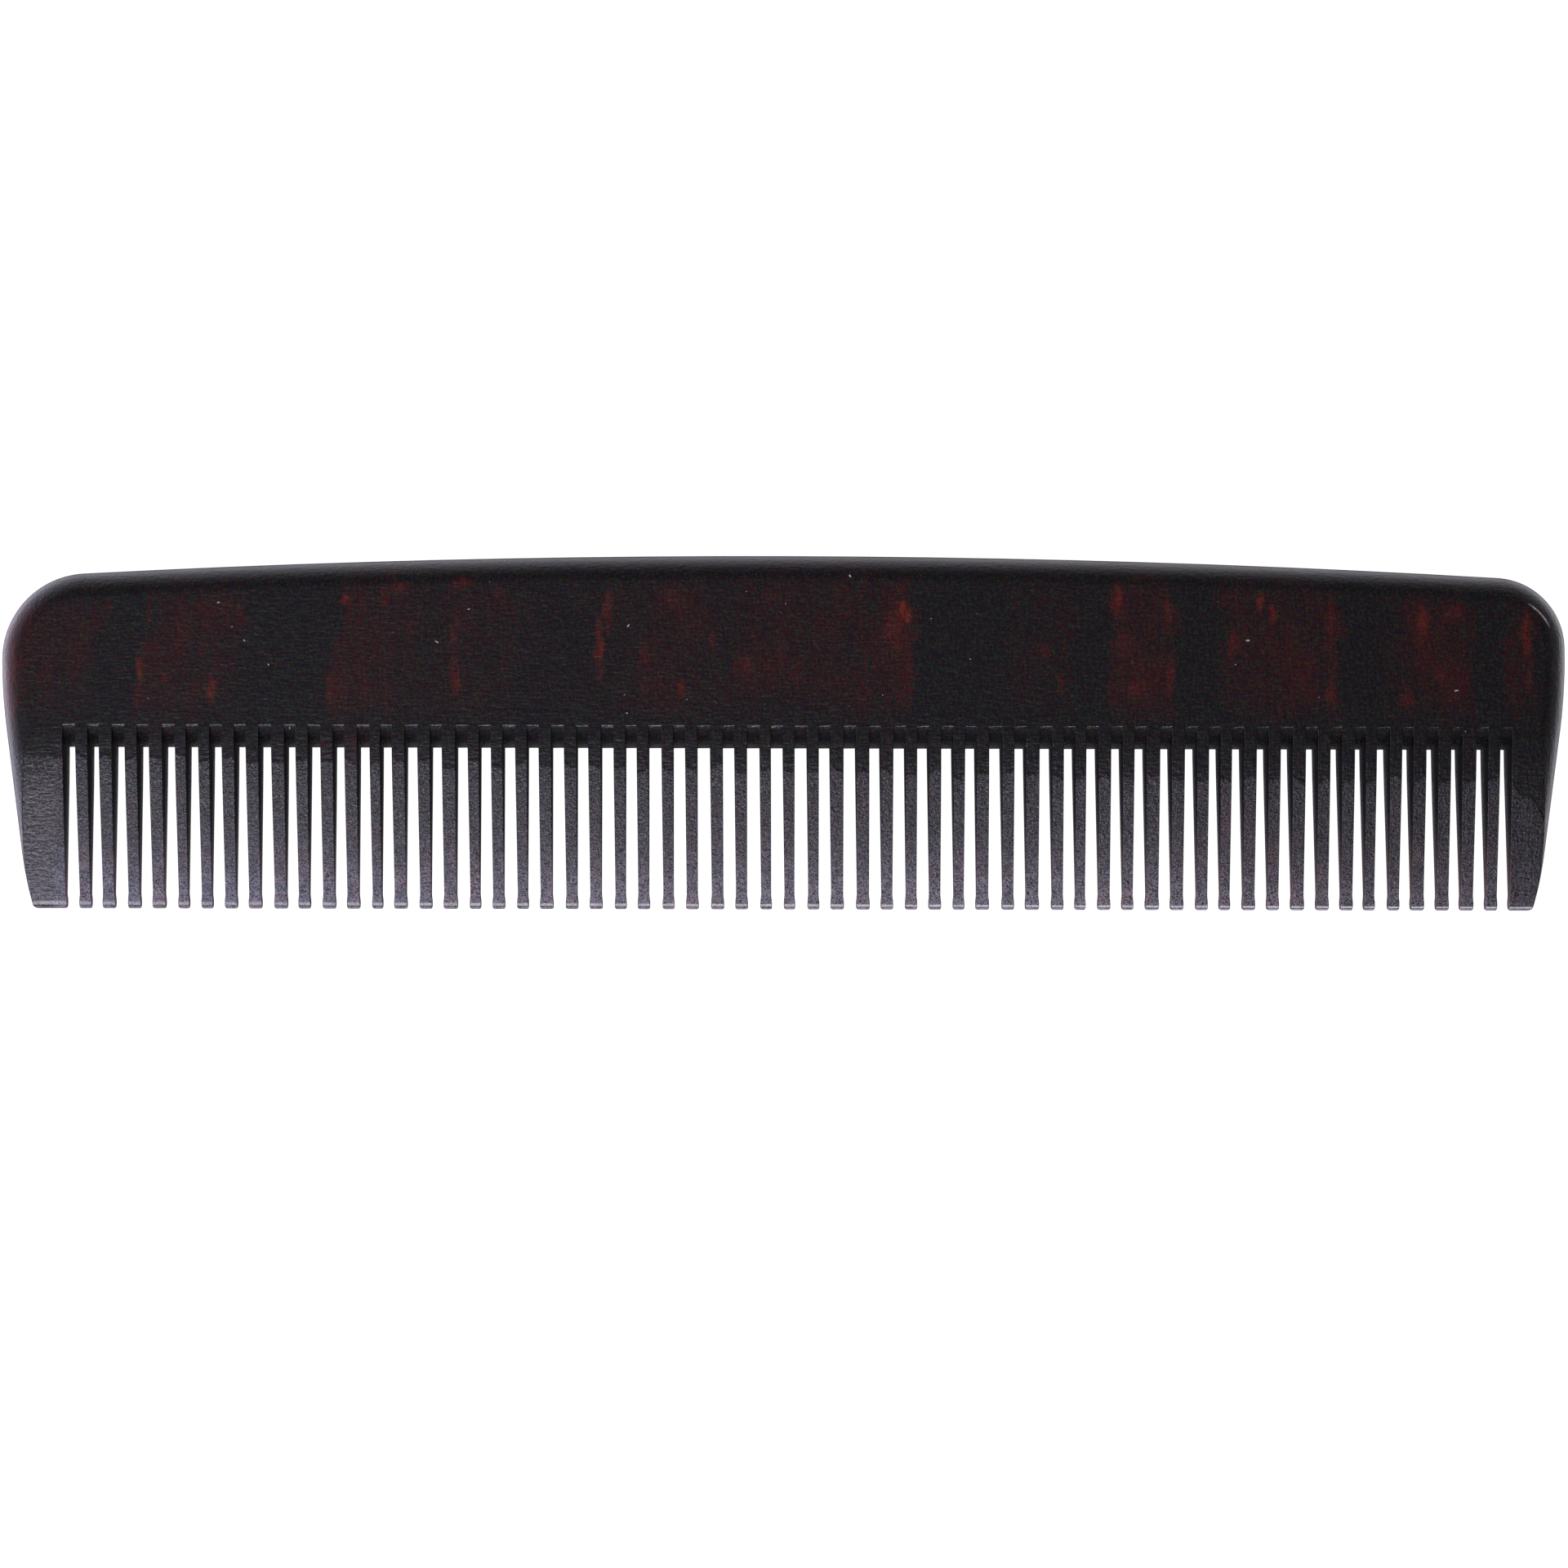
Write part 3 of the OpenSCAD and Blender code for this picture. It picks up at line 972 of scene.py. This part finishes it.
pebble = noise(tree, mm, PEBBLES_PER_MM, detail=3.0, rough=0.65)
pebble_depth = ramp_to(tree, tumbled, 0.0, 1.0, PEBBLES_POLISHED, PEBBLES_TUMBLED)
pebbles = times(tree, times(tree, pebble, pebble_depth), guard_share)
across = noise(tree, mm, SCRATCHES_PER_MM, detail=2.0, stretch=(0.3, 1, 1))
upright = noise(tree, mm, SCRATCHES_PER_MM, detail=2.0, stretch=(1, 0.3, 1))
relief = plus(tree, pebbles, times(tree, plus(tree, across, upright), WEAVE))
bump = {"Strength": 1.0, "Distance": BUMP_DEPTH, "Height": relief}
tree.links.new(add(tree, "ShaderNodeBump", bump), shader.inputs["Normal"])
print("bump depth, mm:", BUMP_DEPTH / MM)

# %% [markdown]
# ## Haze and painted sheen on the teeth
# Worn plastic scatters light at its surface, and the teeth tilt towards the strip light,
# so the dark teeth turn a milky grey towards their tips, cooler on the left and warmer on
# the right. This is a lighter colour that takes over as the wear grows: partly real haze
# and partly a painted sheen of the light. Small specks and wide blotches of noise break it
# up, some stretches of it are pinkish, and on the right there is less of it, as painted
# shade where the light is weaker.

# %% Haze and painted sheen on the teeth
HAZE_SHEEN_LEFT = (0.172, 0.174, 0.236, 1)
HAZE_SHEEN_RIGHT = (0.192, 0.182, 0.208, 1)
HAZE_SHEEN_PINK = (0.245, 0.172, 0.200, 1)
HAZE_SHEEN_GROWS, HAZE_SHEEN_MOST = 3.6, 1.85
HAZE_SHEEN_TUMBLED = 0.04
RIGHT_SHADE_SHARE = 0.5

speckled = ramp_to(tree, noise(tree, mm, 6.5, detail=3.0, rough=0.65), 0.37, 0.62)
blotches = noise(tree, mm, 1.1, detail=3.0, rough=0.6)
blotches = ramp_to(tree, blotches, 0.38, 0.62, 0.7, 1.25)
# Painted shade: less on the right, where the light is weaker.
painted_shade_right = ramp_to(tree, straight_x, 20.0, 50.0, 1.0, RIGHT_SHADE_SHARE)
# Real haze from wear together with a painted sheen of the strip light, growing to the tips.
haze_and_sheen = times(tree, formula(tree, "POWER", down_the_teeth, HAZE_SHEEN_GROWS), HAZE_SHEEN_MOST)
haze_and_sheen = plus(tree, haze_and_sheen, times(tree, tumbled, HAZE_SHEEN_TUMBLED))
haze_and_sheen = times(tree, times(tree, haze_and_sheen, guard_share), blotches)
haze_and_sheen = times(tree, haze_and_sheen, painted_shade_right)
haze_and_sheen = formula(tree, "MULTIPLY", haze_and_sheen, speckled, clamp=True)

to_right = ramp_to(tree, straight_x, -62.0, 0.0, smooth=False)
haze_and_sheen_colour = blend(tree, to_right, HAZE_SHEEN_LEFT, HAZE_SHEEN_RIGHT)
pinkish = noise(tree, mm, 0.4, detail=2.0, stretch=(1, 0.6, 1))
pinkish = ramp_to(tree, pinkish, 0.5, 0.6, 0.0, 0.7)
haze_and_sheen_colour = blend(tree, pinkish, haze_and_sheen_colour, HAZE_SHEEN_PINK)
colour = blend(tree, haze_and_sheen, colour, haze_and_sheen_colour)
print("haze at the tips before it is broken up:", HAZE_SHEEN_MOST)

# %% [markdown]
# ## Glints between the pebbles
# On the tumbled skin single grains catch the light and look almost white. The bump alone
# makes them too soft, because it only tips the shading, so the highest spots of one more
# noise are mixed in as a light grey.

# %% Glints on the tumbled skin
GLINT = (0.50, 0.49, 0.52, 1)
GLINT_MOST = 0.20

sparkle = noise(tree, mm, 5.5, detail=2.0, rough=0.6)
sparkle = ramp_to(tree, sparkle, 0.54, 0.68, 0.0, GLINT_MOST)
sparkle = times(tree, times(tree, sparkle, tumbled), painted_shade_right)
colour = blend(tree, sparkle, colour, GLINT)
print("glints cover at most, share:", GLINT_MOST)

# %% [markdown]
# ## Painted highlights on the tips
# Where the face turns over into the nose, each tip's brow would mirror the strip light in
# a thin white line. The tips also touch first when a comb is laid down or dropped, so they
# are rubbed chalky. Both are painted as one pale band: a painted highlight with some real
# rubbing. The patch is a short band across each tooth: long and faint on the left, short
# and bright on the right, and different from tooth to tooth. Geometry's normal tells the
# face from the side walls, which stay dark.

# %% Painted highlight and chalk on the tips
HIGHLIGHT_AND_CHALK_LEFT = (0.600, 0.610, 0.590, 1)
HIGHLIGHT_AND_CHALK_RIGHT = (0.820, 0.830, 0.810, 1)
BAND_LEFT, BAND_RIGHT = TIP_Y + 0.46, TIP_Y + 0.27
TALL_LEFT, TALL_RIGHT = 1.0, 0.5
TIP_HIGHLIGHT_LEFT = 0.65
NOSE_HIGHLIGHT = 0.5

# Painted highlight where the tip's brow mirrors the strip light, with some real rubbing.
band = ramp_to(tree, straight_x, -60.0, 60.0, BAND_LEFT, BAND_RIGHT, smooth=False)
tall = ramp_to(tree, straight_x, -60.0, 60.0, TALL_LEFT, TALL_RIGHT, smooth=False)
from_band = formula(tree, "DIVIDE", apart(tree, height, band), tall)
tip_highlight_strength = ramp_to(tree, straight_x, -50.0, -20.0, TIP_HIGHLIGHT_LEFT, 1.0)
tip_highlight_strength = times(tree, tip_highlight_strength, ramp_to(tree, by_tooth, 0.35, 0.65, 0.75, 1.05))
tip_highlight_and_rub = ramp_to(tree, from_band, 0.08, 0.18, tip_highlight_strength, 0.0)
outward = tree.nodes.new("ShaderNodeNewGeometry").outputs["Normal"]
outward = add(tree, "ShaderNodeSeparateXYZ", {0: outward}).node
side_wall = formula(tree, "ABSOLUTE", outward.outputs["X"])
tip_highlight_and_rub = times(tree, tip_highlight_and_rub, ramp_to(tree, side_wall, 0.1, 0.3, 1.0, 0.0))
nose = ramp_to(tree, height, TIP_Y + 0.20, TIP_Y + 0.08, 0.0, NOSE_HIGHLIGHT)
tip_highlight_and_rub = larger(tree, tip_highlight_and_rub, nose)
tip_highlight_and_rub = times(tree, tip_highlight_and_rub, ramp_to(tree, speckled, 0.0, 0.6, 0.65, 1.0))
band_heights = [round(band_y - TIP_Y, 2) for band_y in (BAND_LEFT, BAND_RIGHT)]
print("chalk bands above the tips, mm:", band_heights)

# %% [markdown]
# ## Long scratches above the roots
# A hairline veil of scratches runs along the spine, just above the roots, where the comb
# slides in and out of a pocket. It is a noise drawn out along X, kept only at its
# highest, and so faint that it shows as a slight dulling of the dark.

# %% Long scratches above the roots
VEIL = 0.010

rubbed = noise(tree, mm, 1.0, detail=3.0, stretch=(0.25, 9, 1))
low_spine = ramp_to(tree, height, 3.2, 1.8)
rubbed = times(tree, ramp_to(tree, rubbed, 0.55, 0.72, 0.0, VEIL), low_spine)
highlight_and_chalk = larger(tree, rubbed, tip_highlight_and_rub)
print("veil of scratches, share:", VEIL)

# %% [markdown]
# ## A pale line on the corner
# The upper right corner has one pale line along its rim. It follows the corner's own arc,
# so it is placed by the distance from the arc's centre and by the angle around it, and it
# drifts inwards a little on its way round.

# %% A pale line on the corner
LINE_FROM, LINE_TO = math.radians(20), math.radians(55)
LINE_R_FROM, LINE_R_TO = 4.72, 4.50
LINE_MIDDLE = math.radians(39)
LINE_PALE = 0.5

pale_corner = corner_c[1]
across_corner = minus(tree, straight_x, pale_corner.x)
up_corner = minus(tree, height, pale_corner.y)
ring = add(tree, "ShaderNodeCombineXYZ", {"X": across_corner, "Y": up_corner})
ring = length(tree, ring)
around = formula(tree, "ARCTAN2", up_corner, across_corner)
drift = (LINE_FROM, LINE_TO, LINE_R_FROM, LINE_R_TO)
drift = ramp_to(tree, around, *drift, smooth=False)
pale_line = ramp_to(tree, apart(tree, ring, drift), 0.02, 0.11, LINE_PALE, 0.0)
ends = ramp_to(tree, apart(tree, around, LINE_MIDDLE), 0.12, 0.34, 1.0, 0.0)
pale_line = times(tree, pale_line, ends)
pale_line = times(tree, pale_line, ramp_to(tree, poured_z, HALF, HALF + 0.5))
pale_line = times(tree, pale_line, ramp_to(tree, speckled, 0.0, 0.5, 0.3, 1.0))
highlight_and_chalk = larger(tree, highlight_and_chalk, pale_line)

# Pale colour: painted highlights on the tips, real scratches above the roots, the corner
# line.
to_right = ramp_to(tree, straight_x, -20.0, 40.0, smooth=False)
colour = blend(tree, highlight_and_chalk, colour, blend(tree, to_right, HIGHLIGHT_AND_CHALK_LEFT, HIGHLIGHT_AND_CHALK_RIGHT))
print("score, mm from the corner's centre:", LINE_R_FROM, "to", LINE_R_TO)

# %% [markdown]
# ## Light through thin walls
# Towards the tips the teeth are under a millimetre thick, and some light comes through
# them. It leaves by the side walls, which turn from black to a warm brown. Real
# translucency would take long to render for so little, so the walls are just coloured.

# %% Light through thin walls
WARM = (0.16, 0.05, 0.03, 1)
WARM_MOST = 0.6
WARM_BELOW = -6.0

thin = ramp_to(tree, side_wall, 0.6, 0.9)
thin = times(tree, thin, ramp_to(tree, height, WARM_BELOW, TIP_Y))
colour = blend(tree, times(tree, thin, WARM_MOST), colour, WARM)
print("side walls turn warm below, mm:", WARM_BELOW)

# %% [markdown]
# ## A grain in every colour
# No stretch of the acetate is one clean colour: pigment, dust and tiny scratches give it
# a grain of many tints. A noise of three numbers is added to red, green and blue apart.
# It can also take away, so a floor keeps the darkest spots from falling below black.

# %% Grain of the pigment
GRAINS_PER_MM = 4.5
GRAIN = 0.09
FLOOR = 0.0004

tint = scaled(tree, sway(tree, mm, GRAINS_PER_MM, detail=2.0), GRAIN)
colour = vector(tree, "ADD", colour, tint)
colour = vector(tree, "MAXIMUM", colour, (FLOOR, FLOOR, FLOOR))
print("grains of pigment per mm:", GRAINS_PER_MM)

# %% [markdown]
# ## Dust and lint
# Some twenty flecks of lint lie on the top face. Each is charted by its place, half its
# length in millimetres, and the angle it lies at. A turned and squashed distance gives
# an oval, and a noise frays its edge. They are flat grey spots in the colour: they are
# thinner than a hair, and as meshes they would be mere crumbs in the model.

# %% Charted flecks of dust
DUST = [
    (-46.5, 10.6, 0.11, 0), (-44.4, 7.5, 0.10, -45), (-42.4, 5.5, 0.10, -45),
    (-26.0, 10.1, 0.09, 10), (-45.4, 8.6, 0.06, 40), (-28.6, 7.4, 0.15, -35),
    (-12.9, 8.8, 0.14, 60), (-13.2, 3.1, 0.07, 0), (-13.0, 1.6, 0.09, -30),
    (-3.2, 11.6, 0.06, 0), (0.0, 10.6, 0.06, 50), (5.3, 12.9, 0.15, -60),
    (15.2, 6.1, 0.06, 0), (38.0, 7.7, 0.17, 0), (37.0, 5.7, 0.06, 0),
    (55.2, 3.6, 0.16, 10), (-62.1, -10.0, 0.15, 70), (-62.4, -10.5, 0.16, 60),
    (-61.1, -9.2, 0.11, 80), (-40.7, 0.2, 0.21, 75),
]
LINT = (0.42, 0.40, 0.42, 1)
SLIM = 2.4
FRAY = 2.0

dust = None
frayed = times(tree, noise(tree, mm, 6.0, detail=2.0), FRAY)
for dust_x, dust_y, half, turned_by in DUST:
    off = vector(tree, "SUBTRACT", mm, (dust_x, dust_y, THICK))
    off = {"Vector": off, "Angle": math.radians(-turned_by)}
    off = add(tree, "ShaderNodeVectorRotate", off, rotation_type="Z_AXIS")
    off = vector(tree, "MULTIPLY", off, (1 / half, SLIM / half, 1 / half))
    fleck = formula(tree, "LESS_THAN", length(tree, off), frayed)
    dust = fleck if dust is None else larger(tree, dust, fleck)
colour = blend(tree, dust, colour, LINT)
print("flecks of dust:", len(DUST))

# %% [markdown]
# ## Specks finer than the dust
# Between the flecks lie specks too many to chart. A Voronoi texture spreads points
# evenly at random and gives each a random colour. One channel of it, raised to a high
# power, makes nearly all specks vanish and leaves a few at different sizes.

# %% Scattered specks
SPECKS_PER_MM = 0.25
SPECK_RARE, SPECK_SIZE = 6.0, 0.011

cells = {"Vector": mm, "Scale": SPECKS_PER_MM, "Randomness": 1.0}
from_speck = add(
    tree, "ShaderNodeTexVoronoi", cells, out="Distance", voronoi_dimensions="2D"
)
speck = add(tree, "ShaderNodeSeparateXYZ", {0: from_speck.node.outputs["Color"]}, out="X")
speck = times(tree, formula(tree, "POWER", speck, SPECK_RARE), SPECK_SIZE)
colour = blend(tree, formula(tree, "LESS_THAN", from_speck, speck), colour, LINT)
tree.links.new(colour, shader.inputs["Base Color"])
print("largest speck, mm:", round(2 * SPECK_SIZE / SPECKS_PER_MM, 3))

# %% [markdown]
# ## Gloss
# The comb is satin: a light shows on it as a soft broad sheen. Polishing by hand leaves
# it a little uneven, and the tumbled skin is a little duller. Cellulose acetate bends
# light by an index of 1.475, which sets how strongly it mirrors. That is the same all
# over, so it goes straight onto the shader.

# %% Gloss of the acetate
GLOSSY, SATIN = 0.30, 0.33
TUMBLED_DULL = 0.03
ACETATE_IOR = 1.475

patches = noise(tree, mm, 0.9, detail=3.0)
gloss = ramp_to(tree, patches, 0.3, 0.7, GLOSSY, SATIN)
gloss = plus(tree, gloss, times(tree, tumbled, TUMBLED_DULL))
tree.links.new(gloss, shader.inputs["Roughness"])
shader.inputs["IOR"].default_value = ACETATE_IOR
comb.data.materials.clear()
comb.data.materials.append(acetate)
print("material nodes:", len(tree.nodes))

# %% [markdown]
# ## The table
# The comb lies on a pale table that glows evenly, so that the gaps between the teeth
# are as white as the rest. A real table would lie in the comb's own shadow down there,
# and the walls of the teeth would mirror only that. So the table is left out of the
# reflections, and the room below the horizon takes its place. It lies a hair below the
# comb, because two faces at the same height would fight over each pixel.

# %% A pale table
TABLE_SIZE = 6
TABLE_Z = -0.05 * MM

bpy.context.scene.view_settings.view_transform = "Standard"
nothing_selected()
bpy.ops.mesh.primitive_plane_add(size=TABLE_SIZE, location=(0, 0, TABLE_Z))
table_top = bpy.context.object
table_top.name = "table_top"
pale, tree, shader = new_material("pale_table")
shader.inputs["Base Color"].default_value = (0.35, 0.35, 0.35, 1)
shader.inputs["Roughness"].default_value = 1.0
shader.inputs["Specular IOR Level"].default_value = 0.0
shader.inputs["Emission Color"].default_value = (1, 1, 1, 1)
shader.inputs["Emission Strength"].default_value = 1.0
table_top.data.materials.append(pale)
table_top.visible_glossy = False
table_top.visible_diffuse = False
print("table, m:", TABLE_SIZE, "wide")

# %% [markdown]
# ## One long light
# A long, narrow, soft light hangs over the comb on the side of the tips. The flat back
# doesn't mirror it to the camera and stays dark. The thinned teeth tilt towards it, so
# they brighten on their way down, and the tips catch it as a thin white line. That is
# what makes the thinning visible from straight above.

# %% Strip light
LIGHT_PLACE = (-0.1775, -0.30, 0.50)
LIGHT_LONG, LIGHT_WIDE = 0.445, 0.056

bpy.ops.object.light_add(type="AREA", location=LIGHT_PLACE)
strip_light = bpy.context.object
strip_light.name = "strip_light"
strip_light.rotation_euler.x = math.atan2(-LIGHT_PLACE[1], LIGHT_PLACE[2])
strip_light.data.shape = "RECTANGLE"
strip_light.data.size, strip_light.data.size_y = LIGHT_LONG, LIGHT_WIDE
strip_light.data.energy = 2.32
strip_light.data.color = (0.97, 0.92, 1.08)
tilt = math.degrees(strip_light.rotation_euler.x)
print("strip light tilted by, degrees:", round(tilt, 1))

# %% [markdown]
# ## The room around it
# Whatever the comb mirrors besides the light is the room, which the world stands for. It
# is bright all round at the height of the table and darker towards the ceiling, with a
# dark patch straight below, where the table would be in the comb's own shade. A chart
# gives the brightness from straight down to straight up. A brighter room would wash the
# dark acetate out, and a plain black one would leave the rim without its long soft edge.

# %% Chart of the room's brightness
ROOM = [
    (-1.0, 0.02), (-0.92, 0.05), (-0.8, 1.0), (-0.65, 1.9), (-0.5, 1.8), (-0.3, 1.25),
    (-0.1, 1.1), (0.2, 0.7), (0.36, 0.45), (0.5, 0.26), (0.7, 0.13), (0.85, 0.115),
    (1.0, 0.165),
]
room = bpy.data.worlds.new("room")
room.use_nodes = True
tree = room.node_tree
towards = tree.nodes.new("ShaderNodeTexCoord").outputs["Generated"]
towards = add(tree, "ShaderNodeSeparateXYZ", {0: towards}).node
room_x, room_y, room_z = towards.outputs
brightness = read_chart(tree, room_z, ROOM)
print("levels of the room:", len(ROOM))

# %% [markdown]
# ## Windows and walls
# No room is even. The left wall is the brightest, as if a window were there, and the
# right wall is dim above the table. The side of the tips is dim behind the strip light,
# but not at its two ends, and the wall behind the comb's back is a little brighter than
# the rest. Each is a factor on the chart, and one is added high up at both sides.

# %% Sides of the room
LEFT_WALL = 1.9
RIGHT_LOW, RIGHT_HIGH = 1.2, 0.5
TIPS_LOW, TIPS_HIGH = 0.25, 0.5
BACK_LOW, BACK_HIGH = 0.65, 1.1
LIFT = 0.75

left_wall = ramp_to(tree, room_x, -1.0, 0.0, LEFT_WALL, 1.0, smooth=False)
right_wall = ramp_to(tree, room_z, -0.2, 0.1, RIGHT_LOW, RIGHT_HIGH)
right_wall = ramp_to(tree, room_x, 0.0, 1.0, 1.0, right_wall, smooth=False)
tips_wall = ramp_to(tree, room_z, 0.15, 0.35, TIPS_LOW, TIPS_HIGH)
tips_wall = ramp_to(tree, room_y, -0.2, 0.0, tips_wall, 1.0, smooth=False)
at_the_side = ramp_to(tree, formula(tree, "ABSOLUTE", room_x), 0.6, 0.9)
tips_wall = larger(tree, tips_wall, at_the_side)
back_wall = ramp_to(tree, room_z, -0.7, -0.1, BACK_LOW, BACK_HIGH)
back_wall = ramp_to(tree, room_y, 0.3, 1.0, 1.0, back_wall, smooth=False)

high_sides = ramp_to(tree, room_z, 0.1, 1.0, LIFT, 0.0, smooth=False)
high_sides = times(tree, times(tree, room_x, room_x), high_sides)
high_sides = times(tree, high_sides, ramp_to(tree, room_z, 0.3, 0.5))
brightness = times(tree, times(tree, brightness, left_wall), right_wall)
brightness = plus(tree, brightness, high_sides)
brightness = times(tree, times(tree, brightness, tips_wall), back_wall)
print("left wall over right wall:", round(LEFT_WALL / RIGHT_HIGH, 1), "times")

# %% [markdown]
# ## Colour of the daylight
# The light in the room is cool on the window's side and nearly neutral on the other,
# which the haze on the teeth picks up. The colour and the brightness go to the world's
# one shader, and with that the room is ready.

# %% Tint of the room
WINDOW_TINT = (0.97, 0.95, 1.18, 1)
WALL_TINT = (0.99, 0.95, 1.04, 1)

background = tree.nodes["Background"]
to_right = ramp_to(tree, room_x, -1.0, 0.2, smooth=False)
room_tint = blend(tree, to_right, WINDOW_TINT, WALL_TINT)
tree.links.new(room_tint, background.inputs["Color"])
tree.links.new(brightness, background.inputs["Strength"])
bpy.context.scene.world = room

# %% [markdown]
# ## The camera
# The photograph was taken from above with a long lens, close to the middle of the comb.
# How much of each gap's side wall shows tells where the eye was: a little left of the
# middle, and 37 centimetres up. The lens follows from how much has to fit into the frame
# at that distance, and a slight roll lets the comb lie as it does in the photograph.

# %% Camera
EYE = Vector((-4.70, 0.75, HALF + 368.0)) * MM
AIM = Vector((-0.07, -4.22, HALF)) * MM
FRAME_WIDTH = 129.55 * MM
ROLL = math.radians(-0.128)
SENSOR = 36

sight = (AIM - EYE).normalized()
right_hand = sight.cross(Vector((math.sin(ROLL), math.cos(ROLL), 0))).normalized()
upwards = right_hand.cross(sight)
facing = Matrix((right_hand, upwards, -sight)).transposed().to_euler()
bpy.ops.object.camera_add(location=EYE, rotation=facing)
camera = bpy.context.object
camera.name = "overhead_camera"
camera.data.sensor_width = SENSOR
camera.data.lens = camera.data.sensor_width * (AIM - EYE).length / FRAME_WIDTH
bpy.context.scene.camera = camera
print("lens, mm:", round(camera.data.lens, 1), "height of the eye, m:", round(EYE.z, 3))
